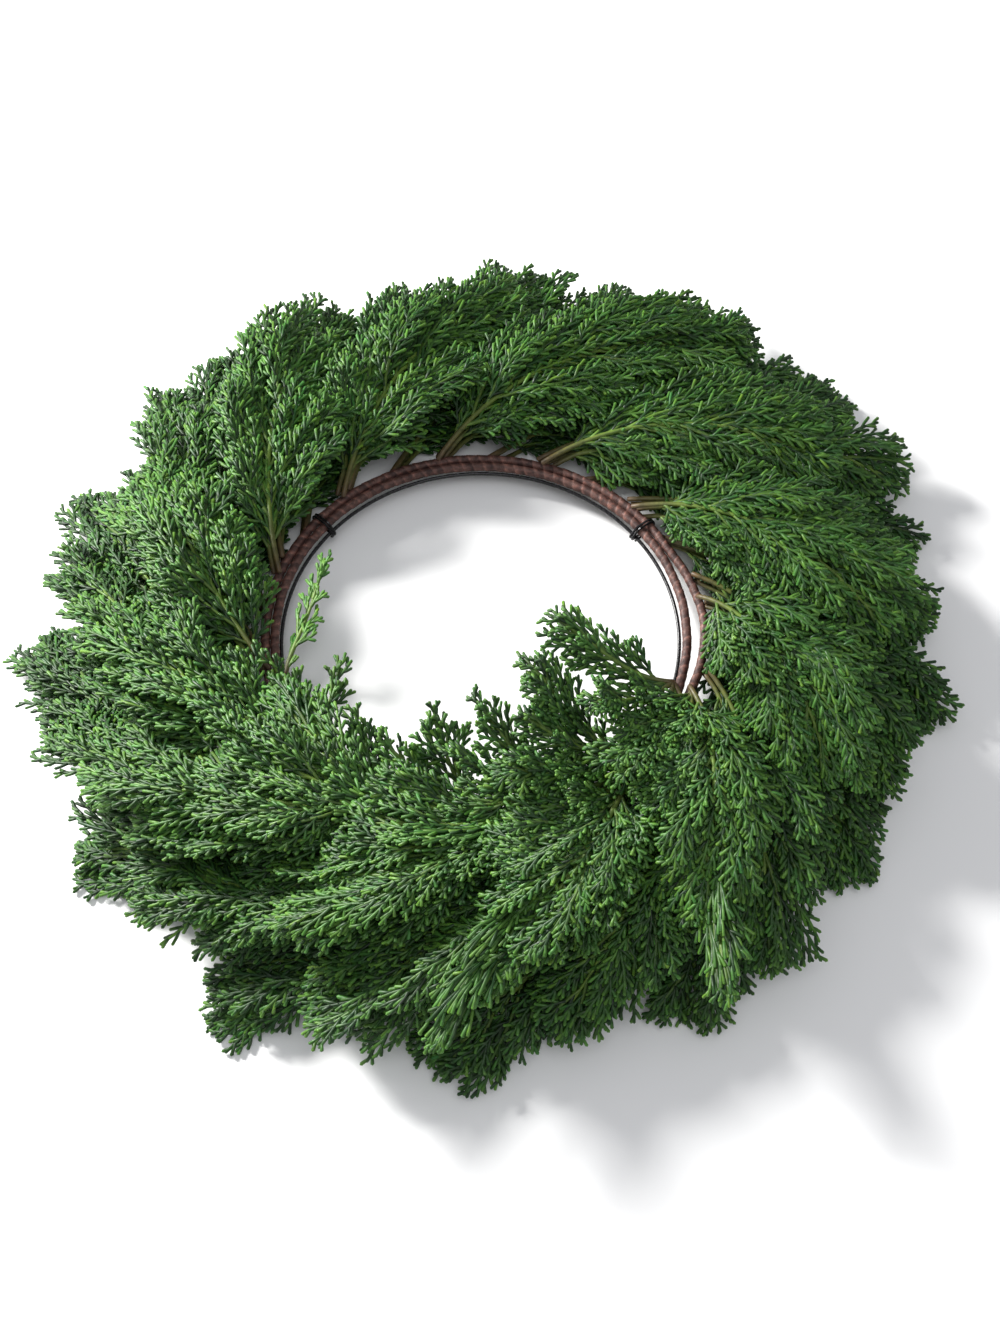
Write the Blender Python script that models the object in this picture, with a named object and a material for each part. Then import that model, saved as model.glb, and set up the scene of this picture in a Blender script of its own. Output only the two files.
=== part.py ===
"""Round evergreen wreath of cedar boughs on a wired ring.

Two bark-brown core stems and a black wire hoop are bound by wire ties. Three
rings of flat boughs grow out of the core and sweep clockwise, seen from above,
and small sprigs lean into the hole. Lengths are in metres, +Z is up, and the
origin is at the middle of the underside.
"""
import math

import bmesh
import bpy
from mathutils import Vector

MM = 0.001
AIR_GAP = 0.3 * MM          # what touching pieces keep between their faces

# Core of the wreath: two stems side by side, and a wire hoop inside them.
CORE_HEIGHT = 14.0 * MM
STEM_RADIUS = 2.8 * MM
STEM_A_RING = 129.9 * MM
STEM_B_RING = STEM_A_RING - 2 * STEM_RADIUS - AIR_GAP
STEM_WAVE = 0.7 * MM        # hand-bent stems aren't quite round
SPLIT_ANGLE = math.radians(2)
SPLIT_HALF_SPAN = math.radians(30)
SPLIT_BULGE = 5.0 * MM      # where the outer stem stands away from the inner one
HOOP_RADIUS = 1.3 * MM
HOOP_CLOCK = math.radians(215)
HOOP_REACH = STEM_RADIUS + HOOP_RADIUS + STEM_WAVE + AIR_GAP
HOOP_RING = STEM_B_RING + HOOP_REACH * math.cos(HOOP_CLOCK)
HOOP_HEIGHT = CORE_HEIGHT + HOOP_REACH * math.sin(HOOP_CLOCK)
HOOP_POINTS = 72

# Ties: two turns of wire round the stems and the hoop.
TIE_ANGLES = [37, 141, 207, 265, 320]
TIE_RADIUS = 0.75 * MM
TIE_TURNS = 2
TIE_PITCH = 2 * TIE_RADIUS + 0.5 * MM
TIE_POINTS_A_TURN = 20

# Boughs: each keeps to its own sector of a spiral and its own layer.
TWIG_HALF = 1.6 * MM        # half the width of a bough's cut end
BOUGH_SPACE = 1.5 * MM      # air between neighbouring boughs
ROOT_SEAT = STEM_RADIUS + AIR_GAP
SPIRAL_START = 130.0 * MM
TIP_THINNING = 0.55         # how much thinner a bough is at its tip than its layer
TIE_CLEARANCE = math.radians(4.4)
OUTLINE_RADIUS = 258.0 * MM
OUTLINE_BULGE = 34.0 * MM   # the fullest side of the wreath
OUTLINE_BULGE_ANGLE = math.radians(48)
OUTLINE_BULGE_POWER = 8

# Heights of each layer's underside and top at these distances from the ring's centre.
LAYER_KNOTS = [129, 133, 142, 155, 180, 220, 250, 275, 310]
LAYERS = {
    "outer": {"low": [9.6, 9.6, 6, 2, 0, 0, 0, 0, 0],
              "high": [12.8, 12.8, 14, 17, 22, 24, 20, 15, 9]},
    "face": {"low": [14.4, 14.4, 15.5, 18.5, 23.5, 25.5, 21.5, 16.5, 10.5],
             "high": [17.6, 17.6, 22, 30, 40, 42, 35, 28, 20]},
    "crown": {"low": [17.1, 19.1, 23.5, 31.5, 41.5, 43.5, 36.5, 29.5, 21.5],
              "high": [20.3, 22.3, 33, 47, 62, 59, 49, 40, 30]},
}
SPIRAL_PITCH = {"outer": math.radians(42), "face": math.radians(40), "crown": math.radians(37)}
# How far a bough's tip passes the wreath's outline, in millimetres, round from angle 0.
OUTER_TIPS = [0, 4, -2, 4, -4, 2, 6, 0, 8, -4, 6, 4, -2]
FACE_TIPS = [-10, -8, -4, -12, -8, -12, -4, -10, -8, -12, -8, -10, -6]
CROWN_TIPS = [-44, -36, -50, -40, -46, -38, -50, -42, -34, -48, -36, -42]

# Sprigs that lean into the hole: angle, length along the ring in degrees, innermost
# distance from the centre and highest point in millimetres.
SPRIGS = [
    (197, 22, 106, 40),
    (222, 24, 99, 46),
    (247, 23, 101, 44),
    (271, 23, 97, 50),
    (295, 22, 93, 52),
    (319, 22, 90, 54),
    (344, 23, 94, 52),
]
SPRIG_CLOCK = math.radians(140)
SPRIG_STATIONS = 7
SPRIG_HALF_WIDTH = 8.0 * MM
SPRIG_HALF_THICKNESS = 3.6 * MM
SPRIG_LEAN = 0.45           # how far a sprig's face leans out from level

GREEN_OUTER = (0.035, 0.105, 0.030)
GREEN_FACE = (0.050, 0.150, 0.040)
GREEN_CROWN = (0.070, 0.190, 0.050)
GREEN_SPRIG = (0.110, 0.240, 0.060)
BARK_BROWN = (0.110, 0.045, 0.035)
WIRE_BLACK = (0.015, 0.015, 0.017)


def clear_scene():
    for thing in list(bpy.data.objects):
        bpy.data.objects.remove(thing, do_unlink=True)


def make_material(name, colour, roughness, metallic=0.0):
    material = bpy.data.materials.new(name)
    material.use_nodes = True
    shader = material.node_tree.nodes["Principled BSDF"]
    shader.inputs["Base Color"].default_value = (*colour, 1.0)
    shader.inputs["Roughness"].default_value = roughness
    shader.inputs["Metallic"].default_value = metallic
    material.diffuse_color = (*colour, 1.0)
    return material


def polar(radius, angle, height):
    return Vector((radius * math.cos(angle), radius * math.sin(angle), height))


def angle_between(a, b):
    """Signed difference a - b, from -pi to pi."""
    return (a - b + math.pi) % (2 * math.pi) - math.pi


def read_curve(x, xs, ys):
    """Straight-line reading of a curve given by its knots."""
    if x <= xs[0]:
        return ys[0]
    for x0, x1, y0, y1 in zip(xs, xs[1:], ys, ys[1:]):
        if x <= x1:
            return y0 + (y1 - y0) * (x - x0) / (x1 - x0)
    return ys[-1]


# The core -----------------------------------------------------------------

def stem_wave(angle):
    return STEM_WAVE * math.sin(3 * angle + 0.5)


def stem_a_ring(angle):
    """Distance of the outer core stem's middle from the wreath's centre."""
    away = angle_between(angle, SPLIT_ANGLE) / SPLIT_HALF_SPAN
    bulge = 0.5 + 0.5 * math.cos(math.pi * away) if abs(away) < 1 else 0.0
    return STEM_A_RING + stem_wave(angle) + SPLIT_BULGE * bulge


def stem_b_ring(angle):
    return STEM_B_RING + stem_wave(angle)


def add_wire(name, points, radius, material, closed, resolution):
    """Round wire or stem along a list of points."""
    curve = bpy.data.curves.new(name, "CURVE")
    curve.dimensions = "3D"
    curve.bevel_depth = radius
    curve.bevel_resolution = resolution
    curve.render_resolution_u = 0
    curve.use_fill_caps = not closed
    spline = curve.splines.new("POLY")
    spline.points.add(len(points) - 1)
    for place, point in zip(spline.points, points):
        place.co = (*point, 1.0)
    spline.use_cyclic_u = closed
    spline.use_smooth = True
    thing = bpy.data.objects.new(name, curve)
    bpy.context.scene.collection.objects.link(thing)
    curve.materials.append(material)
    return thing


def add_ring(name, ring_of_angle, height, radius, material, resolution):
    points = []
    for index in range(HOOP_POINTS):
        angle = 2 * math.pi * index / HOOP_POINTS
        points.append(polar(ring_of_angle(angle), angle, height))
    return add_wire(name, points, radius, material, True, resolution)


def add_core(bark, wire):
    return [
        add_ring("core_stem_a", stem_a_ring, CORE_HEIGHT, STEM_RADIUS, bark, 2),
        add_ring("core_stem_b", stem_b_ring, CORE_HEIGHT, STEM_RADIUS, bark, 2),
        add_ring("wire_ring", lambda angle: HOOP_RING, HOOP_HEIGHT, HOOP_RADIUS, wire, 1),
    ]


def tie_point(clock, angle, along):
    """A point of a taut wire round the core's section at this ring angle."""
    bound = [
        (stem_a_ring(angle), CORE_HEIGHT, STEM_RADIUS),
        (stem_b_ring(angle), CORE_HEIGHT, STEM_RADIUS),
        (HOOP_RING, HOOP_HEIGHT, HOOP_RADIUS),
    ]
    out = math.cos(clock)
    up = math.sin(clock)
    ring, height, radius = max(bound, key=lambda part: part[0] * out + part[1] * up + part[2])
    reach = radius + AIR_GAP + TIE_RADIUS
    turned = angle + along / STEM_A_RING
    return polar(ring + reach * out, turned, height + reach * up)


def add_tie(number, degrees, material):
    angle = math.radians(degrees)
    count = TIE_TURNS * TIE_POINTS_A_TURN
    points = []
    for index in range(count + 1):
        turns = index / TIE_POINTS_A_TURN
        clock = math.radians(250) + 2 * math.pi * turns
        along = (turns - TIE_TURNS / 2) * TIE_PITCH
        points.append(tie_point(clock, angle, along))
    return add_wire(f"wire_tie_{number}", points, TIE_RADIUS, material, False, 1)


# The boughs ---------------------------------------------------------------

def add_loft(name, sections, material):
    """Closed body through a list of rings of points, all with the same count."""
    mesh = bmesh.new()
    rings = [[mesh.verts.new(point) for point in section] for section in sections]
    count = len(rings[0])
    for ring, following in zip(rings, rings[1:]):
        for index in range(count):
            beside = (index + 1) % count
            mesh.faces.new((ring[index], ring[beside], following[beside], following[index]))
    mesh.faces.new(list(reversed(rings[0])))
    mesh.faces.new(rings[-1])
    bmesh.ops.recalc_face_normals(mesh, faces=mesh.faces)
    data = bpy.data.meshes.new(name)
    mesh.to_mesh(data)
    mesh.free()
    data.shade_smooth()
    data.set_sharp_from_angle(angle=math.radians(35))
    data.materials.append(material)
    thing = bpy.data.objects.new(name, data)
    bpy.context.scene.collection.objects.link(thing)
    return thing


def outline(angle):
    """Distance of the wreath's outer edge from the ring's centre."""
    facing = 0.5 + 0.5 * math.cos(angle - OUTLINE_BULGE_ANGLE)
    return OUTLINE_RADIUS + OUTLINE_BULGE * facing ** OUTLINE_BULGE_POWER


def spiral_turn(radius, pitch):
    """How far a spiral of constant pitch has turned on its way out to radius."""
    return math.log(radius / SPIRAL_START) / math.tan(pitch)


def clear_of_ties(angle):
    """The nearest angle at which a bough's cut end leaves the ties alone."""
    for degrees in TIE_ANGLES:
        away = angle_between(angle, math.radians(degrees))
        if abs(away) < TIE_CLEARANCE:
            return angle + math.copysign(TIE_CLEARANCE - abs(away), away)
    return angle


def stations(start, end):
    """Distances from the centre at which a bough's sections are taken."""
    knots = [knot * MM for knot in LAYER_KNOTS if start + 4 * MM < knot * MM < end - 4 * MM]
    near_tip = end - 0.35 * (end - knots[-1])
    middles = [(a + b) / 2 for a, b in zip(knots, knots[1:]) if b - a > 28 * MM]
    return sorted([start, *knots, *middles, near_tip, end])


def spread(way):
    """How far a bough has filled its width, from 0 at the cut end to 1 and back at the tip."""
    return math.sin(math.pi * way ** 0.75) ** 0.8 if 0 < way < 1 else 0.0


def flat_section(radius, middle, half, low, high):
    """Six points on a circle of this radius: a flat lens between two heights."""
    waist = low + 0.45 * (high - low)
    shape = [(-1.0, waist), (-0.55, high), (0.55, high), (1.0, waist), (0.6, low), (-0.6, low)]
    return [polar(radius, middle + side * half / radius, height) for side, height in shape]


def add_bough(name, layer, sector, sector_half, tip, material):
    pitch = SPIRAL_PITCH[layer]
    heights = LAYERS[layer]
    first_turn = spiral_turn(STEM_A_RING + ROOT_SEAT, pitch)
    root = clear_of_ties(sector - first_turn)
    twig = TWIG_HALF / math.sin(pitch)
    half_turn = 0.25 * twig / STEM_A_RING
    seat = max(stem_a_ring(root + side * half_turn) for side in (-1, 0, 1))
    if layer != "crown":
        seat += ROOT_SEAT
    end = outline(sector - spiral_turn(OUTLINE_RADIUS, pitch)) + tip
    sections = []
    for radius in stations(seat, end):
        way = (radius - seat) / (end - seat)
        widest = sector_half * radius - BOUGH_SPACE
        half = twig + (widest - twig) * spread(way)
        nudge = (root - sector + first_turn) * (1 - way) ** 4
        middle = sector + nudge - spiral_turn(radius, pitch)
        low = read_curve(radius / MM, LAYER_KNOTS, heights["low"]) * MM
        high = read_curve(radius / MM, LAYER_KNOTS, heights["high"]) * MM
        if layer == "crown" and way == 0:
            low = CORE_HEIGHT + STEM_RADIUS + AIR_GAP
            high = low + 2 * TWIG_HALF
        high = low + (high - low) * (1 - TIP_THINNING * way ** 4)
        sections.append(flat_section(radius, middle, half, low, high))
    return add_loft(name, sections, material)


def add_bough_ring(layer, tips, offset, material):
    """One ring of boughs, numbered round the wreath from angle 0."""
    count = len(tips)
    sector_half = math.pi / count
    boughs = []
    for index, tip in enumerate(tips):
        sector = math.radians(offset) + 2 * math.pi * index / count
        name = f"{layer}_bough_{index + 1:02d}"
        boughs.append(add_bough(name, layer, sector, sector_half, tip * MM, material))
    return boughs


def add_sprig(number, degrees, span, inner, top, material):
    """Small sprig from the inside of the core, up and into the hole."""
    root = clear_of_ties(math.radians(degrees))
    reach = STEM_RADIUS + AIR_GAP + 1.35 * TWIG_HALF
    start = stem_b_ring(root) + reach * math.cos(SPRIG_CLOCK)
    start_height = CORE_HEIGHT + reach * math.sin(SPRIG_CLOCK)
    sections = []
    for index in range(SPRIG_STATIONS):
        way = index / (SPRIG_STATIONS - 1)
        half = TWIG_HALF + (SPRIG_HALF_WIDTH - TWIG_HALF) * spread(way)
        thick = TWIG_HALF + (SPRIG_HALF_THICKNESS - TWIG_HALF) * spread(way)
        angle = root - math.radians(span) * way
        ring = start + (inner * MM - start) * way
        height = start_height + (top * MM - start_height) * way ** 1.3
        out = Vector((math.cos(angle), math.sin(angle), 0.0))
        up = Vector((0.0, 0.0, 1.0))
        centre = polar(ring, angle, height)
        lean = (out * SPRIG_LEAN + up).normalized()
        across = (out - lean * out.dot(lean)).normalized()
        shape = [(-1, 0), (-0.5, 1), (0.5, 1), (1, 0), (0.5, -1), (-0.5, -1)]
        section = [centre + across * side * half + lean * rise * thick for side, rise in shape]
        sections.append(section)
    return add_loft(f"inner_sprig_{number}", sections, material)


def centre_on_base(things):
    """Move everything so that the origin is at the middle of the underside."""
    bpy.context.view_layer.update()
    graph = bpy.context.evaluated_depsgraph_get()
    points = []
    for thing in things:
        solid = thing.evaluated_get(graph)
        points += [thing.matrix_world @ vertex.co for vertex in solid.to_mesh().vertices]
        solid.to_mesh_clear()
    lowest = [min(point[axis] for point in points) for axis in range(3)]
    highest = [max(point[axis] for point in points) for axis in range(3)]
    middle = [(low + high) / 2 for low, high in zip(lowest, highest)]
    shift = Vector((-middle[0], -middle[1], -lowest[2]))
    for thing in things:
        thing.location = thing.location + shift


def main():
    clear_scene()
    bark = make_material("bark_brown", BARK_BROWN, 0.75)
    wire = make_material("wire_black", WIRE_BLACK, 0.35, 0.6)
    outer_green = make_material("green_outer", GREEN_OUTER, 0.55)
    face_green = make_material("green_face", GREEN_FACE, 0.55)
    crown_green = make_material("green_crown", GREEN_CROWN, 0.5)
    sprig_green = make_material("green_sprig", GREEN_SPRIG, 0.5)
    things = add_core(bark, wire)
    for number, degrees in enumerate(TIE_ANGLES, start=1):
        things.append(add_tie(number, degrees, wire))
    things += add_bough_ring("outer", OUTER_TIPS, 6, outer_green)
    things += add_bough_ring("face", FACE_TIPS, 20, face_green)
    things += add_bough_ring("crown", CROWN_TIPS, 12, crown_green)
    for number, sprig in enumerate(SPRIGS, start=1):
        things.append(add_sprig(number, *sprig, sprig_green))
    centre_on_base(things)


main()
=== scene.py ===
"""Looks of the evergreen wreath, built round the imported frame.

Every bough of the frame gets a spray of cedar: a stem, laterals, branchlets and
scale-leaved twigs, laid along the path of its own solid. Lengths are in metres.
"""

import math

import bpy
import numpy as np
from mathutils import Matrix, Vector


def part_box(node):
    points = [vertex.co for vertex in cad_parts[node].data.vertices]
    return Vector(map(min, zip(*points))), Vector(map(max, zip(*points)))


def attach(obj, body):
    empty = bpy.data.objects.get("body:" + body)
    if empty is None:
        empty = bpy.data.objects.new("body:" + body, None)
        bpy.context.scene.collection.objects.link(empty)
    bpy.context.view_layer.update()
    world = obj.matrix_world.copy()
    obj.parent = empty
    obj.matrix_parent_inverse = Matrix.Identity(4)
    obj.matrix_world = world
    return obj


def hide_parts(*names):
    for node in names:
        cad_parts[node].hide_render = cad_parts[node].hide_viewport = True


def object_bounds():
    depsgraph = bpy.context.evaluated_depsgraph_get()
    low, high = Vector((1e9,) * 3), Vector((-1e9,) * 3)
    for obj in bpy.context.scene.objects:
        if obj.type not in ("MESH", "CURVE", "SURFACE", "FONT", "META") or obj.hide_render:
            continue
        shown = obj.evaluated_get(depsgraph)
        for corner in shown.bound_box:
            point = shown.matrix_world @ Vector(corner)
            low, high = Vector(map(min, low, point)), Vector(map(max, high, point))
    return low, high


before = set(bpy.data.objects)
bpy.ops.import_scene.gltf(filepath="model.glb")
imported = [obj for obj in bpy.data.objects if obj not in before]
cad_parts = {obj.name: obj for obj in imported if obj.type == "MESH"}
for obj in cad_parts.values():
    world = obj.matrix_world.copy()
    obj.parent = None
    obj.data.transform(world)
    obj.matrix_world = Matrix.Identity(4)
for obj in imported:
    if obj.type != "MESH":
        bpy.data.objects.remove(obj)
CAD_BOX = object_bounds()

MM = 0.001
SEED = 23

RING_LOW, RING_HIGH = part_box("wire_ring")
RING_CENTRE = (RING_LOW + RING_HIGH) / 2
HOOP_RADIUS = (RING_HIGH.z - RING_LOW.z) / 2
HOOP_RING = (RING_HIGH.x - RING_LOW.x) / 2 - HOOP_RADIUS
STEM_LOW, STEM_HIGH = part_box("core_stem_b")
STEM_RADIUS = (STEM_HIGH.z - STEM_LOW.z) / 2
CORE_HEIGHT = (STEM_HIGH.z + STEM_LOW.z) / 2

# The core's plan, as in the frame's own solids.
AIR_GAP = 0.3 * MM
STEM_A_RING = 129.9 * MM
STEM_DESIGN_RADIUS = 2.8 * MM
STEM_B_RING = STEM_A_RING - 2 * STEM_DESIGN_RADIUS - AIR_GAP
STEM_WAVE = 0.7 * MM
SPLIT_ANGLE = math.radians(2)
SPLIT_HALF_SPAN = math.radians(30)
SPLIT_BULGE = 5.0 * MM


# Materials ----------------------------------------------------------------

def new_material(name):
    material = bpy.data.materials.new(name)
    material.use_nodes = True
    nodes = material.node_tree.nodes
    return material, nodes, material.node_tree.links, nodes["Principled BSDF"]


def add_bump(nodes, links, shader, height, strength, distance):
    bump = nodes.new("ShaderNodeBump")
    bump.inputs["Strength"].default_value = strength
    bump.inputs["Distance"].default_value = distance
    links.new(height, bump.inputs["Height"])
    links.new(bump.outputs["Normal"], shader.inputs["Normal"])


def add_noise(nodes, links, scale, detail):
    noise = nodes.new("ShaderNodeTexNoise")
    noise.inputs["Scale"].default_value = scale
    noise.inputs["Detail"].default_value = detail
    coordinates = nodes.new("ShaderNodeTexCoord")
    links.new(coordinates.outputs["Object"], noise.inputs["Vector"])
    return noise.outputs["Fac"]


def add_ramp(nodes, links, fac, stops):
    ramp = nodes.new("ShaderNodeValToRGB")
    band = ramp.color_ramp
    band.elements[0].position, band.elements[0].color = stops[0][0], (*stops[0][1], 1)
    band.elements[1].position, band.elements[1].color = stops[-1][0], (*stops[-1][1], 1)
    for place, colour in stops[1:-1]:
        band.elements.new(place).color = (*colour, 1)
    links.new(fac, ramp.inputs["Fac"])
    return ramp.outputs["Color"]


def multiply_colours(nodes, links, a, b):
    mix = nodes.new("ShaderNodeMix")
    mix.data_type = "RGBA"
    mix.blend_type = "MULTIPLY"
    mix.inputs["Factor"].default_value = 1.0
    links.new(a, mix.inputs["A"])
    links.new(b, mix.inputs["B"])
    return mix.outputs["Result"]


def foliage_material():
    """Scale leaves: colour from each twig's tint, its green with painted shade and painted light,
    mottled, with scales along the twig.
    """
    material, nodes, links, shader = new_material("cedar_leaf")
    tint = nodes.new("ShaderNodeVertexColor")
    tint.layer_name = "tint"
    mottle = add_noise(nodes, links, 260.0, 3.0)
    shade = add_ramp(nodes, links, mottle, [
        (0.30, (0.62, 0.66, 0.60)), (0.50, (1.0, 1.0, 1.0)), (0.72, (1.35, 1.28, 1.15))])
    colour = multiply_colours(nodes, links, tint.outputs["Color"], shade)
    links.new(colour, shader.inputs["Base Color"])
    along = nodes.new("ShaderNodeAttribute")
    along.attribute_name = "scales"
    wave = nodes.new("ShaderNodeTexWave")
    wave.wave_profile = "SAW"
    wave.inputs["Scale"].default_value = 1.0
    wave.inputs["Distortion"].default_value = 0.6
    links.new(along.outputs["Vector"], wave.inputs["Vector"])
    add_bump(nodes, links, shader, wave.outputs["Fac"], 0.55, 0.0006)
    gloss = add_ramp(nodes, links, mottle, [(0.3, (0.60, 0.60, 0.60)), (0.7, (0.42, 0.42, 0.42))])
    links.new(gloss, shader.inputs["Roughness"])
    shader.inputs["Specular IOR Level"].default_value = 0.4
    return material


def bark_material():
    """Brown tape wound tightly round the core, creased across its length, with painted shade in the
    hollows of the creases and painted highlights on their crests.
    """
    material, nodes, links, shader = new_material("core_bark")
    tint = nodes.new("ShaderNodeVertexColor")
    tint.layer_name = "tint"
    crease = add_noise(nodes, links, 420.0, 5.0)
    # The crease noise sets the colour too: painted shade in its hollows, painted highlights on its
    # crests.
    shade = add_ramp(nodes, links, crease, [
        (0.30, (0.45, 0.42, 0.42)), (0.52, (1.0, 1.0, 1.0)), (0.75, (1.9, 1.7, 1.6))])
    colour = multiply_colours(nodes, links, tint.outputs["Color"], shade)
    links.new(colour, shader.inputs["Base Color"])
    add_bump(nodes, links, shader, crease, 0.5, 0.0008)
    gloss = add_ramp(nodes, links, crease, [(0.3, (0.75, 0.75, 0.75)), (0.7, (0.5, 0.5, 0.5))])
    links.new(gloss, shader.inputs["Roughness"])
    return material


def wire_material():
    """Black enamelled wire with fine scuffs."""
    material, nodes, links, shader = new_material("black_wire")
    scuff = add_noise(nodes, links, 700.0, 4.0)
    colour = add_ramp(nodes, links, scuff, [
        (0.35, (0.006, 0.006, 0.007)), (0.62, (0.014, 0.014, 0.016)),
        (0.8, (0.05, 0.05, 0.052))])
    links.new(colour, shader.inputs["Base Color"])
    gloss = add_ramp(nodes, links, scuff, [
        (0.35, (0.22, 0.22, 0.22)), (0.75, (0.42, 0.42, 0.42))])
    links.new(gloss, shader.inputs["Roughness"])
    add_bump(nodes, links, shader, scuff, 0.15, 0.0003)
    shader.inputs["Metallic"].default_value = 0.35
    return material


# Mesh helpers -------------------------------------------------------------

def unit(vectors):
    return vectors / np.maximum(np.linalg.norm(vectors, axis=-1, keepdims=True), 1e-12)


def link_mesh(name, mesh, tints, material):
    """Gives a mesh its "tint" colours and its material, and puts it in the scene."""
    layer = mesh.color_attributes.new("tint", "FLOAT_COLOR", "POINT")
    colours = np.ones((len(tints), 4), np.float32)
    colours[:, :3] = tints
    layer.data.foreach_set("color", colours.ravel())
    mesh.materials.append(material)
    thing = bpy.data.objects.new(name, mesh)
    bpy.context.scene.collection.objects.link(thing)
    return thing


class Builder:
    """Gathers tubes and makes one mesh of them."""

    # How far the round ends stand out, in radii.
    ROOT_CAP = 0.4
    TIP_CAP = 0.8

    def __init__(self):
        self.points = []
        self.quads = []
        self.caps = []
        self.tints = []
        self.scales = []
        self.count = 0

    def tubes(self, centres, radii, normals, flat, sides, tints, along):
        """Capped tubes: centres, normals and tints (n, k, 3), radii and along (n, k)."""
        n, k, _ = centres.shape
        tangent = unit(np.gradient(centres, axis=1))
        across = unit(np.cross(tangent, normals))
        up = np.cross(across, tangent)
        turn = 2 * np.pi * np.arange(sides) / sides
        ring = (across[:, :, None, :] * np.cos(turn)[None, None, :, None]
                + up[:, :, None, :] * (flat * np.sin(turn))[None, None, :, None])
        points = centres[:, :, None, :] + ring * radii[:, :, None, None]
        start = centres[:, :1] - tangent[:, :1] * radii[:, :1, None] * self.ROOT_CAP
        end = centres[:, -1:] + tangent[:, -1:] * radii[:, -1:, None] * self.TIP_CAP
        block = np.concatenate([points.reshape(n, k * sides, 3), start, end], axis=1)
        size = k * sides + 2
        base = self.count + size * np.arange(n)
        quads = []
        for row in range(k - 1):
            for side in range(sides):
                beside = (side + 1) % sides
                a = row * sides + side
                b = row * sides + beside
                quads.append((a, b, b + sides, a + sides))
        caps = []
        for side in range(sides):
            beside = (side + 1) % sides
            caps.append((beside, side, size - 2))
            last = (k - 1) * sides
            caps.append((last + side, last + beside, size - 1))
        self.quads.append((base[:, None, None] + np.array(quads)[None]).reshape(-1, 4))
        self.caps.append((base[:, None, None] + np.array(caps)[None]).reshape(-1, 3))
        self.points.append(block.reshape(-1, 3))
        for values, kept in ((tints, self.tints), (along, self.scales)):
            wide = np.repeat(values, sides, axis=1)
            wide = np.concatenate([wide, values[:, :1], values[:, -1:]], axis=1)
            kept.append(wide.reshape(-1, *values.shape[2:]))
        self.count += size * n

    def build(self, name, material):
        points = np.concatenate(self.points).astype(np.float32)
        quads = np.concatenate(self.quads)
        caps = np.concatenate(self.caps)
        mesh = bpy.data.meshes.new(name)
        mesh.vertices.add(len(points))
        mesh.vertices.foreach_set("co", points.ravel())
        loops = np.concatenate([quads.ravel(), caps.ravel()]).astype(np.int32)
        sizes = np.concatenate([np.full(len(quads), 4), np.full(len(caps), 3)])
        starts = np.concatenate([[0], np.cumsum(sizes)[:-1]]).astype(np.int32)
        mesh.loops.add(len(loops))
        mesh.loops.foreach_set("vertex_index", loops)
        mesh.polygons.add(len(sizes))
        mesh.polygons.foreach_set("loop_start", starts)
        mesh.polygons.foreach_set("use_smooth", np.ones(len(sizes), bool))
        mesh.update(calc_edges=True)
        thing = link_mesh(name, mesh, np.concatenate(self.tints), material)
        scales = mesh.attributes.new("scales", "FLOAT_VECTOR", "POINT")
        run = np.zeros((len(points), 3), np.float32)
        run[:, 0] = np.concatenate(self.scales)
        scales.data.foreach_set("vector", run.ravel())
        return thing


def settle(piece, slot, *nodes):
    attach(piece, "root")
    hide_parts(*nodes)


# The path of a bough, read from its solid ---------------------------------

def node_vertices(name):
    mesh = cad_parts[name].data
    points = np.zeros(len(mesh.vertices) * 3, np.float32)
    mesh.vertices.foreach_get("co", points)
    return points.reshape(-1, 3).astype(float)


SECTION_STEP = 0.2 * MM
SPRIG_SECTIONS = 7


def bough_path(name):
    """Middle line of a bough, from its cut end to its tip: its sections lie on circles."""
    points = node_vertices(name)
    flat = points[:, :2] - np.array(RING_CENTRE[:2])
    section = np.round(np.hypot(flat[:, 0], flat[:, 1]) / SECTION_STEP)
    return np.array([points[section == one].mean(axis=0) for one in np.unique(section)])


def sprig_path(name):
    """Middle line of a sprig: sections in order of height."""
    points = node_vertices(name)
    groups = np.array_split(np.argsort(points[:, 2]), SPRIG_SECTIONS)
    return np.array([points[group].mean(axis=0) for group in groups])


def smooth_path(points, count, length):
    """Even steps along a smooth curve near the points, run on straight past its end."""
    gaps = np.linalg.norm(np.diff(points, axis=0), axis=1)
    steps = np.concatenate([[0], np.cumsum(gaps)])
    full = steps[-1]
    fit = [np.polynomial.Polynomial.fit(steps, points[:, axis], 3) for axis in range(3)]
    run = np.linspace(0, length, count)
    inside = np.minimum(run, full)
    curve = np.stack([part(inside) for part in fit], axis=1)
    slope = unit(np.stack([part.deriv()(full) for part in fit]))
    return run, curve + np.maximum(run - full, 0)[:, None] * slope


# Sprays -------------------------------------------------------------------

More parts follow.
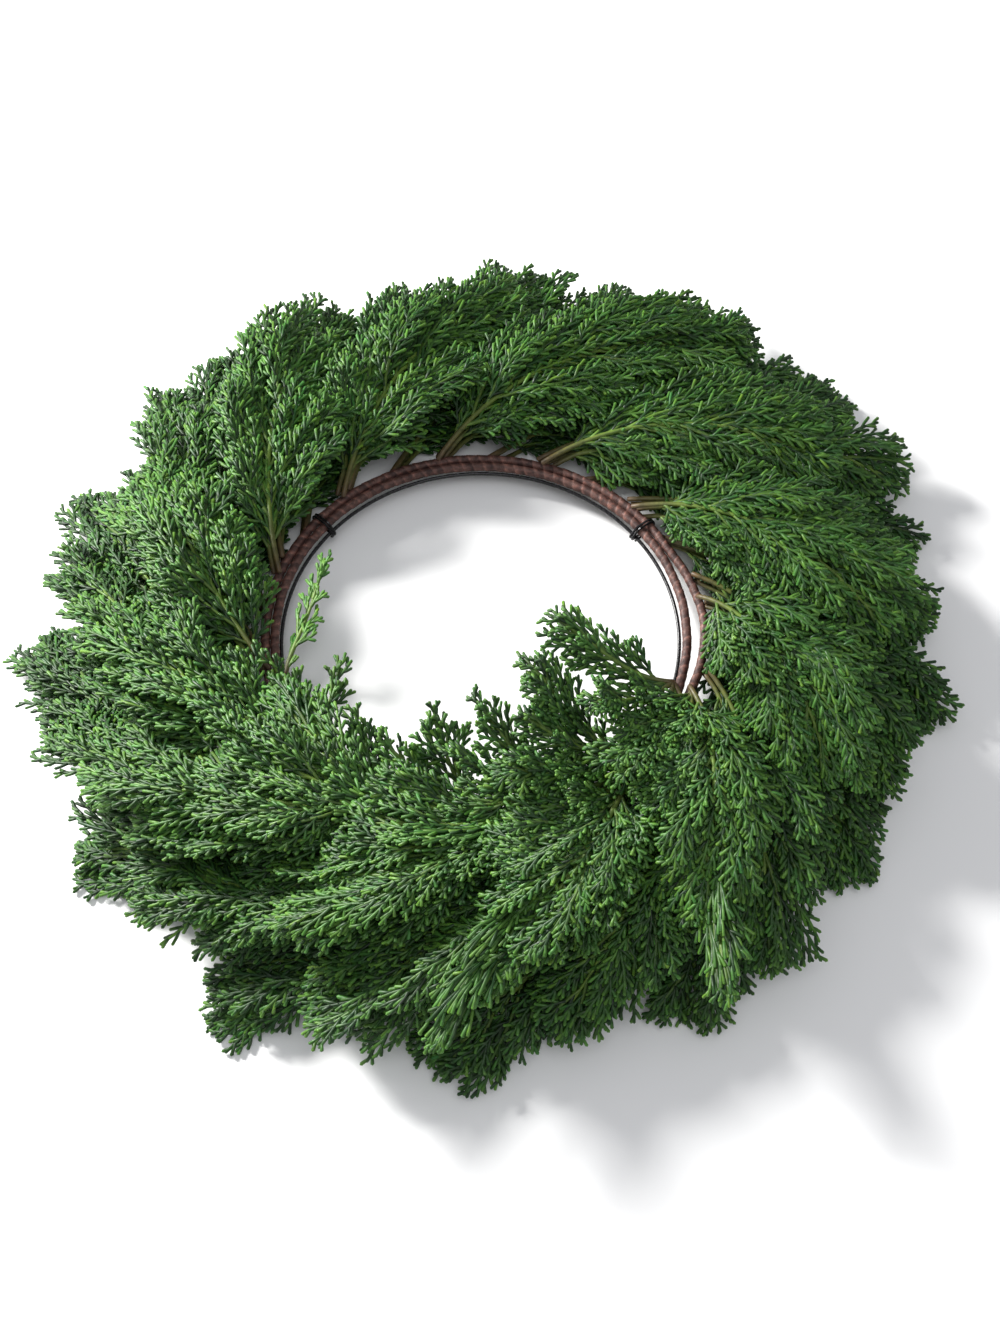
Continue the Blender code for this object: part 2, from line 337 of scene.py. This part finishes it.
class Spray:
    """A flat, feathered spray in its own plane: u along the stem, v across, w out of it.

    The stem carries laterals (level 1), they carry branchlets (2), and those carry
    leaf twigs (3), on alternate sides. first is the share of the stem left bare.
    """

    # Steps between side twigs in millimetres, their angles in degrees, and how much
    # their lengths vary.
    LATERAL_STEP, LATERAL_ANGLE, LATERAL_REACH = (5.0, 7.0), (22, 36), (0.85, 1.35)
    BRANCHLET_STEP, BRANCHLET_ANGLE, BRANCHLET_REACH = (4.2, 5.8), (18, 32), (0.7, 1.2)
    TWIG_STEP, TWIG_ANGLE, TWIG_REACH = (3.0, 4.2), (26, 40), (0.75, 1.2)
    LATERAL_SHORTEST = 9 * MM
    TIP_LATERAL = 16 * MM
    LIFT_SPREAD = 0.10

    def __init__(self, random, length, width, first=0.12):
        self.random = random
        self.length = length
        self.width = width
        self.first = first
        self.levels = {1: [], 2: [], 3: []}
        self.grow()

    def grow(self):
        random = self.random
        place = self.length * self.first
        side = 1 if random.random() < 0.5 else -1
        while place < self.length * 0.97:
            way = place / self.length
            reach = self.width * (math.sin(math.pi * min(1.0, way * 0.88 + 0.14)) ** 0.7)
            reach *= random.uniform(*self.LATERAL_REACH)
            reach = max(reach, self.LATERAL_SHORTEST)
            heading = side * math.radians(random.uniform(*self.LATERAL_ANGLE) - 8 * way)
            bend = -side * math.radians(random.uniform(6, 20))
            lift = random.normal(0.04, 0.13)
            self.lateral(place, heading, reach, bend, lift, way)
            side = -side
            place += random.uniform(*self.LATERAL_STEP) * MM
        self.lateral(self.length * 0.93, 0.0, self.TIP_LATERAL, 0.05, 0.0, 1.0)

    @staticmethod
    def point_on(start, heading, bend, lift, run, t):
        """The place at a share t, or a length run, along a twig."""
        angle = heading + bend * t / 2
        return (start[0] + run * math.cos(angle), start[1] + run * math.sin(angle),
                start[2] + lift * run)

    def lateral(self, u, heading, length, bend, lift, way):
        start = (u, 0.0, 0.0)
        self.levels[1].append((*start, heading, length, bend, lift, way))
        random = self.random
        run = 4.0 * MM
        side = 1 if random.random() < 0.5 else -1
        while run < length * 0.96:
            t = run / length
            reach = (9 + 19 * math.sin(math.pi * min(1.0, t * 0.75 + 0.2))) * MM
            reach = min(reach, 5 * MM + (length - run) * 0.75)
            reach *= random.uniform(*self.BRANCHLET_REACH)
            turn = side * math.radians(random.uniform(*self.BRANCHLET_ANGLE))
            self.branchlet(self.point_on(start, heading, bend, lift, run, t),
                           heading + bend * t + turn, reach, -side * random.uniform(0.1, 0.35),
                           lift + random.normal(0, self.LIFT_SPREAD), (way + t) / 2)
            side = -side
            run += random.uniform(*self.BRANCHLET_STEP) * MM

    def branchlet(self, start, heading, length, bend, lift, way):
        self.levels[2].append((*start, heading, length, bend, lift, way))
        random = self.random
        run = 3.0 * MM
        side = 1 if random.random() < 0.5 else -1
        while run < length - 1.5 * MM:
            t = run / length
            reach = min(3.4 * MM + (length - run) * 0.32, 7.0 * MM)
            reach *= random.uniform(*self.TWIG_REACH)
            turn = side * math.radians(random.uniform(*self.TWIG_ANGLE))
            self.levels[3].append((*self.point_on(start, heading, bend, lift, run, t),
                                   heading + bend * t + turn, reach,
                                   -side * random.uniform(0.0, 0.3),
                                   lift + random.normal(0, self.LIFT_SPREAD), way))
            side = -side
            run += random.uniform(*self.TWIG_STEP) * MM

    def lines(self, level, count):
        """Points (n, count, 3) of every twig of one level, and the twigs' lengths."""
        u, v, w, heading, length, bend, lift, _ = np.array(self.levels[level]).T
        t = np.linspace(0, 1, count)
        angle = heading[:, None] + bend[:, None] * t[None] / 2
        run = length[:, None] * t[None]
        line = np.stack([u[:, None] + run * np.cos(angle), v[:, None] + run * np.sin(angle),
                         w[:, None] + lift[:, None] * run], axis=2)
        return line, length


# The leaf greens run from a near-black green, painted shade between the twigs, through a mid green
# to the light green of lit tips. A twig's place between them is partly its own green, varied at
# random, and partly painted shade and painted light.
LEAF_PAINTED_SHADE = np.array([0.004, 0.018, 0.003])
LEAF_MID = np.array([0.015, 0.062, 0.007])
LEAF_LIGHT = np.array([0.078, 0.200, 0.026])
STEM_GREEN = np.array([0.105, 0.180, 0.026])
STEM_BROWN = np.array([0.085, 0.050, 0.025])
TONE_SPREAD = 0.20
HUE_SPREAD = 0.10
HUE_SHIFT = np.array([1.4, 0.3, -1.0])


def leaf_tints(random, n, k, light, painted_tip_light):
    """Colours along n twigs: darker where they start, in painted shade, and paler at the tip, in
    painted light, by the amount given.
    """
    tone = np.clip(random.normal(light, TONE_SPREAD, n), 0, 1)[:, None]
    way = np.linspace(0, 1, k)[None]
    tone = np.clip(tone + painted_tip_light * (way - 0.45), 0, 1)[..., None]
    low = LEAF_PAINTED_SHADE + (LEAF_MID - LEAF_PAINTED_SHADE) * np.minimum(tone * 2, 1)
    tint = low + (LEAF_LIGHT - LEAF_MID) * np.maximum(tone * 2 - 1, 0)
    hue = random.normal(0, HUE_SPREAD, (n, 1, 1))
    return tint * (1 + hue * HUE_SHIFT)


# Twigs that would pass the floor or the wreath's top are pressed back towards it.
FLOOR_ROOM = 4.0 * MM
SOFT_FLOOR = 5.4 * MM
TOP_ROOM = 10.0 * MM
SOFT_TOP = CAD_BOX[1].z - 2.5 * MM

# A spray's stem: rings, sides, flatness, radii in millimetres, scale length.
STEM_RINGS = 26
STEM_SIDES = 8
STEM_FLAT = 0.9
STEM_FROM, STEM_TO = 1.7, 0.75
STEM_REACH = 0.97
STEM_SCALE = 2.4 * MM
BROWN_FADE = 3.5

# Its twigs: rings, radii in millimetres at start and end, and how much they pale: painted light at
# the tips, painted shade where they start.
TWIG_LEVELS = {1: (8, 1.15, 0.88, 0.30), 2: (5, 1.02, 0.98, 0.42), 3: (3, 0.96, 1.06, 0.55)}
TWIG_SIDES = 5
TWIG_FLAT = 0.78
TWIG_SCALE = 2.0 * MM
TWIG_SWELL = 0.07
# Each level out from the stem is lighter by this much: painted shade on the laterals, painted light
# on the outer twigs.
LEVEL_PAINTED_LIGHT = 0.05
STEMMY = 0.75


def soften(height):
    """Keeps heights between the soft floor and the soft top, give or take their room."""
    high = np.maximum(height - SOFT_TOP, 0)
    height = np.minimum(height, SOFT_TOP) + TOP_ROOM * (1 - np.exp(-high / TOP_ROOM))
    low = np.maximum(SOFT_FLOOR - height, 0)
    return np.maximum(height, SOFT_FLOOR) - FLOOR_ROOM * (1 - np.exp(-low / FLOOR_ROOM))


def lay(builder, spray, path, roll, arch, offset, light, random):
    """Lays a spray along a path; roll turns its plane about the stem."""
    run, curve = path
    tangent = unit(np.gradient(curve, axis=0))
    level = unit(np.cross(tangent, np.array([0.0, 0.0, 1.0])))
    upright = np.cross(level, tangent)
    across = level * math.cos(roll) + upright * math.sin(roll)
    out = -level * math.sin(roll) + upright * math.cos(roll)

    def place(line):
        u, v, w = line[..., 0], line[..., 1], line[..., 2]
        spot = [np.interp(u, run, curve[:, axis]) for axis in range(3)]
        over = np.maximum(u - run[-1], 0)
        side = [np.interp(u, run, across[:, axis]) for axis in range(3)]
        face = [np.interp(u, run, out[:, axis]) for axis in range(3)]
        w = w - arch * v * v + offset
        world = np.stack([spot[a] + v * side[a] + w * face[a] + over * tangent[-1, a]
                          for a in range(3)], axis=-1)
        world[..., 2] = soften(world[..., 2])
        return world, np.stack(face, axis=-1)

    main = np.zeros((1, STEM_RINGS, 3))
    main[0, :, 0] = np.linspace(0, spray.length * STEM_REACH, STEM_RINGS)
    centres, faces = place(main)
    radii = np.linspace(STEM_FROM, STEM_TO, STEM_RINGS)[None] * MM
    share = np.linspace(0, 1, STEM_RINGS)[None, :, None]
    brown = np.clip(1 - share * BROWN_FADE, 0, 1)
    tints = STEM_GREEN * (1 - brown) + STEM_BROWN * brown
    builder.tubes(centres, radii, faces, STEM_FLAT, STEM_SIDES, tints,
                  main[..., 0] / STEM_SCALE)

    for number, (steps, first, last, painted_tip_light) in TWIG_LEVELS.items():
        line, length = spray.lines(number, steps)
        centres, faces = place(line)
        n = len(line)
        swell = 1 + random.normal(0, TWIG_SWELL, (n, steps))
        radii = np.linspace(first, last, steps)[None] * swell * MM
        tints = leaf_tints(random, n, steps, light + LEVEL_PAINTED_LIGHT * (number - 2), painted_tip_light)
        if number == 1:
            stemmy = np.linspace(STEMMY, 0.0, steps)[None, :, None]
            tints = tints * (1 - stemmy) + STEM_GREEN * stemmy
        along = np.linspace(0, 1, steps)[None] * length[:, None] / TWIG_SCALE
        builder.tubes(centres, radii, faces, TWIG_FLAT, TWIG_SIDES, tints, along)


def seeded(name):
    letters = sum(ord(letter) * (place + 1) for place, letter in enumerate(name))
    return np.random.default_rng(SEED + letters)


BOUGH_STEPS = 60
BOUGH_ARCH = 1.6
MAIN_RISE = 2 * MM
ROLL_SPREAD = 6

# Side sprays: turn in radians, share of the length and width, tilt in degrees, drop in millimetres,
# and how much darker they are, as painted shade under the main spray they lie below.
SIDE_TURN = (0.10, 0.22)
SIDE_SHARE = (0.62, 0.82)
SIDE_WIDTH = 0.8
SIDE_TILT = (8, 22)
SIDE_DROP = (3, 9)
SIDE_PAINTED_SHADE = 0.10

# Inward sprays of the near crown boughs: turn in radians and share of the length.
INWARD_SPRAYS = ((0.34, 0.62), (0.62, 0.46))
INWARD_WIDTH = 0.6
# The inward sprays are a little darker than their bough: painted shade, as they lie below the main
# spray.
INWARD_PAINTED_SHADE = 0.04

LAYER_LOOKS = {
    # Width, roll in degrees (negative lifts the outer edge), lightness, extra length. The lightness
    # is painted light: the crown on top lightest, the layers below it darker in painted shade.
    "outer": {"width": 62 * MM, "roll": -5, "light": 0.34, "more": 0 * MM},
    "face": {"width": 62 * MM, "roll": -12, "light": 0.44, "more": 6 * MM},
    "crown": {"width": 60 * MM, "roll": -16, "light": 0.56, "more": 14 * MM},
}


def make_bough(name, layer, material):
    random = seeded(name)
    looks = LAYER_LOOKS[layer]
    middles = bough_path(name)
    length = np.linalg.norm(np.diff(middles, axis=0), axis=1).sum() + looks["more"]
    path = smooth_path(middles, BOUGH_STEPS, length)
    builder = Builder()
    roll = math.radians(looks["roll"] + random.normal(0, ROLL_SPREAD))
    spray = Spray(random, length, looks["width"] * random.uniform(0.9, 1.1))
    lay(builder, spray, path, roll, BOUGH_ARCH, MAIN_RISE, looks["light"], random)
    for side in (-1, 1):
        turn = side * random.uniform(*SIDE_TURN)
        turned = turn_path(path, turn, 0.06 + random.uniform(0, 0.08))
        short = length * random.uniform(*SIDE_SHARE)
        second = Spray(random, short, looks["width"] * SIDE_WIDTH)
        tilt = roll + side * math.radians(random.uniform(*SIDE_TILT))
        drop = -random.uniform(*SIDE_DROP) * MM
        lay(builder, second, turned, tilt, BOUGH_ARCH, drop, looks["light"] - SIDE_PAINTED_SHADE, random)
    below = middles[0, 1] < RING_CENTRE.y - 0.2 * STEM_A_RING
    if layer == "crown" and below and middles[0, 0] > RING_CENTRE.x - 0.5 * STEM_A_RING:
        for inward, share in INWARD_SPRAYS:
            turned = turn_path(path, inward + random.normal(0, 0.04), 0.02)
            third = Spray(random, length * share, looks["width"] * INWARD_WIDTH, first=0.08)
            tilt = math.radians(random.uniform(-10, 25))
            lay(builder, third, turned, tilt, BOUGH_ARCH, 0.0, looks["light"] - INWARD_PAINTED_SHADE, random)
    piece = builder.build(name.replace("bough", "spray"), material)
    settle(piece, "foliage_" + layer, name)


def turn_path(path, angle, start):
    """The same path, bent to one side from a little way up."""
    run, curve = path
    away = np.maximum(run - start * run[-1], 0)
    tangent = unit(np.gradient(curve, axis=0))
    level = unit(np.cross(tangent, np.array([0.0, 0.0, 1.0])))
    return run, curve + level * (away * math.tan(angle))[:, None]


SPRIG_STEPS = 40
SPRIG_ARCH = 2.0

# Each sprig's length against its solid, half width in millimetres, the turn of each
# of its stems in radians, and lightness.
SPRIG_LOOKS = {
    "inner_sprig_1": (1.45, 12, (0.12,), 1.0),
    "inner_sprig_2": (0.75, 16, (-0.5, 0.3), 0.55),
    "inner_sprig_3": (0.85, 20, (-0.6, 0.0), 0.60),
    "inner_sprig_4": (1.0, 22, (-0.7, -0.2, 0.2), 0.55),
    "inner_sprig_5": (1.2, 24, (-0.8, -0.3, 0.2), 0.50),
    "inner_sprig_6": (1.35, 30, (-1.1, -0.6, -0.1, 0.4), 0.50),
    "inner_sprig_7": (1.30, 30, (-1.2, -0.6, -0.1, 0.5), 0.52),
}


def make_sprig(name, material):
    random = seeded(name)
    stretch, width, turns, light = SPRIG_LOOKS[name]
    middles = sprig_path(name)
    length = np.linalg.norm(middles[-1] - middles[0]) * stretch
    path = smooth_path(middles[::2], SPRIG_STEPS, length)
    builder = Builder()
    for turn in turns:
        spray = Spray(random, length * random.uniform(0.85, 1.05), width * MM, first=0.05)
        roll = math.radians(random.uniform(-30, 20))
        bent = turn_path(path, turn + random.normal(0, 0.08), 0.0)
        lay(builder, spray, bent, roll, SPRIG_ARCH, 0.0, light, random)
    piece = builder.build(name + "_leaves", material)
    settle(piece, "foliage_sprig", name)


# Core ---------------------------------------------------------------------

def stem_wave(angle):
    return STEM_WAVE * np.sin(3 * angle + 0.5)


def stem_a_ring(angle):
    away = ((angle - SPLIT_ANGLE + np.pi) % (2 * np.pi) - np.pi) / SPLIT_HALF_SPAN
    bulge = np.where(np.abs(away) < 1, 0.5 + 0.5 * np.cos(np.pi * away), 0.0)
    return STEM_A_RING + stem_wave(angle) + SPLIT_BULGE * bulge


def stem_b_ring(angle):
    return STEM_B_RING + stem_wave(angle)


def ring_mesh(name, ring, height, radius, rings, sides, relief, tint_of, material):
    """A closed hoop whose surface is shaped by relief(angle, turn), a share of its radius."""
    angle = 2 * np.pi * np.arange(rings) / rings
    turn = 2 * np.pi * np.arange(sides) / sides
    a, c = np.meshgrid(angle, turn, indexing="ij")
    thick = radius * (1 + relief(a, c))
    out = ring(a) + thick * np.cos(c)
    points = np.stack([RING_CENTRE.x + out * np.cos(a), RING_CENTRE.y + out * np.sin(a),
                       height + thick * np.sin(c)], axis=-1).reshape(-1, 3)
    row, side = np.meshgrid(np.arange(rings), np.arange(sides), indexing="ij")
    after, beside = (row + 1) % rings, (side + 1) % sides
    quads = np.stack([row * sides + side, after * sides + side,
                      after * sides + beside, row * sides + beside], axis=-1).reshape(-1, 4)
    mesh = bpy.data.meshes.new(name)
    mesh.from_pydata(points.tolist(), [], quads.tolist())
    mesh.shade_smooth()
    return link_mesh(name, mesh, tint_of(a, c).reshape(-1, 3), material)


TAPE_TURNS = 118
TAPE_RINGS, TAPE_SIDES = 1900, 16
HOOP_RINGS, HOOP_SIDES = 240, 12
HOOP_WOBBLE = 0.012
# The tape's browns run from dark, for painted shade, to light, for painted highlights.
TAPE_DARK = np.array([0.040, 0.014, 0.011])
TAPE_LIGHT = np.array([0.230, 0.110, 0.085])


def tape_phase(angle, turn, shift):
    return (angle * TAPE_TURNS / (2 * np.pi) + turn / (2 * np.pi) + shift) % 1.0


def tape_crease(angle, turn):
    return np.sin(angle * 731 + 2.5 * np.sin(turn * 3 + angle * 40))


def tape_relief(shift):
    def relief(angle, turn):
        edge = tape_phase(angle, turn, shift)
        crease = 0.035 * tape_crease(angle, turn)
        crease += 0.025 * np.sin(angle * 1289 + 1.7 * np.sin(turn * 2 - angle * 90))
        lump = 0.05 * np.sin(angle * 23 + turn + shift * 9)
        return -0.02 + 0.10 * (edge - 0.5) + crease + lump
    return relief


# The tape's colour follows its relief: painted highlights on the raised edge of each wrap and on the
# crests of its creases, painted shade lower down; patch varies the crease part at random.
def tape_tint(shift):
    def tint(angle, turn):
        edge = tape_phase(angle, turn, shift)
        crease = 0.5 + 0.5 * tape_crease(angle, turn)
        patch = 0.5 + 0.5 * np.sin(angle * 9 + 2 * np.sin(angle * 31 + shift * 5))
        share = np.clip(0.55 * edge ** 3 + 0.35 * crease * patch, 0, 1)[..., None]
        return TAPE_DARK + (TAPE_LIGHT - TAPE_DARK) * share
    return tint


def make_core(bark, wire):
    stems = (("core_stem_a", stem_a_ring, 0.0), ("core_stem_b", stem_b_ring, 0.37))
    for name, ring, shift in stems:
        piece = ring_mesh(name.replace("stem", "tape"), ring, CORE_HEIGHT, STEM_RADIUS,
                          TAPE_RINGS, TAPE_SIDES, tape_relief(shift), tape_tint(shift), bark)
        settle(piece, "bark", name)
    hoop = ring_mesh("hoop_wire", lambda a: HOOP_RING + 0 * a, RING_CENTRE.z, HOOP_RADIUS,
                     HOOP_RINGS, HOOP_SIDES, lambda a, c: HOOP_WOBBLE * np.sin(7 * a + c),
                     lambda a, c: np.zeros((*a.shape, 3)), wire)
    settle(hoop, "wire", "wire_ring")
    for name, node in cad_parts.items():
        if name.startswith("wire_tie"):
            node.data.materials.clear()
            node.data.materials.append(wire)
            for face in node.data.polygons:
                face.use_smooth = True


# Stage --------------------------------------------------------------------

CAMERA_ELEVATION = math.radians(60)
CAMERA_DISTANCE = 1.104
CAMERA_LENS = 50.0
CAMERA_SENSOR = 36
CAMERA_SHIFT_X, CAMERA_SHIFT_Y = 0.0118, -0.0233
CAMERA_TARGET = Vector((RING_CENTRE.x + CAMERA_SHIFT_X, RING_CENTRE.y + CAMERA_SHIFT_Y,
                        CORE_HEIGHT))
FLOOR_HALF = 6.0
FLOOR_DROP = 0.0004
SKY_STRENGTH = 0.45


def make_stage():
    mesh = bpy.data.meshes.new("floor")
    corners = [(x * FLOOR_HALF, y * FLOOR_HALF, 0) for x, y in ((-1, -1), (1, -1), (1, 1), (-1, 1))]
    mesh.from_pydata(corners, [], [(0, 1, 2, 3)])
    floor = bpy.data.objects.new("floor", mesh)
    floor.location.z = -FLOOR_DROP
    bpy.context.scene.collection.objects.link(floor)
    material, *_, shader = new_material("floor_white")
    shader.inputs["Base Color"].default_value = (0.86, 0.86, 0.87, 1)
    shader.inputs["Roughness"].default_value = 0.8
    mesh.materials.append(material)


def add_light(name, place, size, power, colour):
    lamp = bpy.data.lights.new(name, "AREA")
    lamp.shape = "DISK"
    lamp.size = size
    lamp.energy = power
    lamp.color = colour
    thing = bpy.data.objects.new(name, lamp)
    thing.location = place
    thing.rotation_euler = (-Vector(place)).to_track_quat("-Z", "Y").to_euler()
    bpy.context.scene.collection.objects.link(thing)


def make_lights():
    add_light("key", (-1.55, 0.95, 1.02), 0.55, 118, (1.0, 0.99, 0.96))
    add_light("fill", (0.3, -1.0, 2.8), 1.8, 22, (0.97, 0.98, 1.0))
    world = bpy.data.worlds.new("studio")
    world.use_nodes = True
    sky = world.node_tree.nodes["Background"]
    sky.inputs["Color"].default_value = (0.97, 0.98, 1.0, 1)
    sky.inputs["Strength"].default_value = SKY_STRENGTH
    bpy.context.scene.world = world


def make_camera():
    back = Vector((0, -math.cos(CAMERA_ELEVATION), math.sin(CAMERA_ELEVATION)))
    data = bpy.data.cameras.new("camera")
    data.lens = CAMERA_LENS
    data.sensor_width = CAMERA_SENSOR
    camera = bpy.data.objects.new("camera", data)
    camera.location = CAMERA_TARGET + back * CAMERA_DISTANCE
    camera.rotation_euler = (-back).to_track_quat("-Z", "Y").to_euler()
    bpy.context.scene.collection.objects.link(camera)
    bpy.context.scene.camera = camera


def main():
    leaf = foliage_material()
    make_core(bark_material(), wire_material())
    for name in sorted(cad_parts):
        layer = name.split("_")[0]
        if "bough" in name:
            make_bough(name, layer, leaf)
        elif "sprig" in name:
            make_sprig(name, leaf)
    make_stage()
    make_lights()
    make_camera()
    bpy.context.scene.view_settings.view_transform = "Standard"


main()
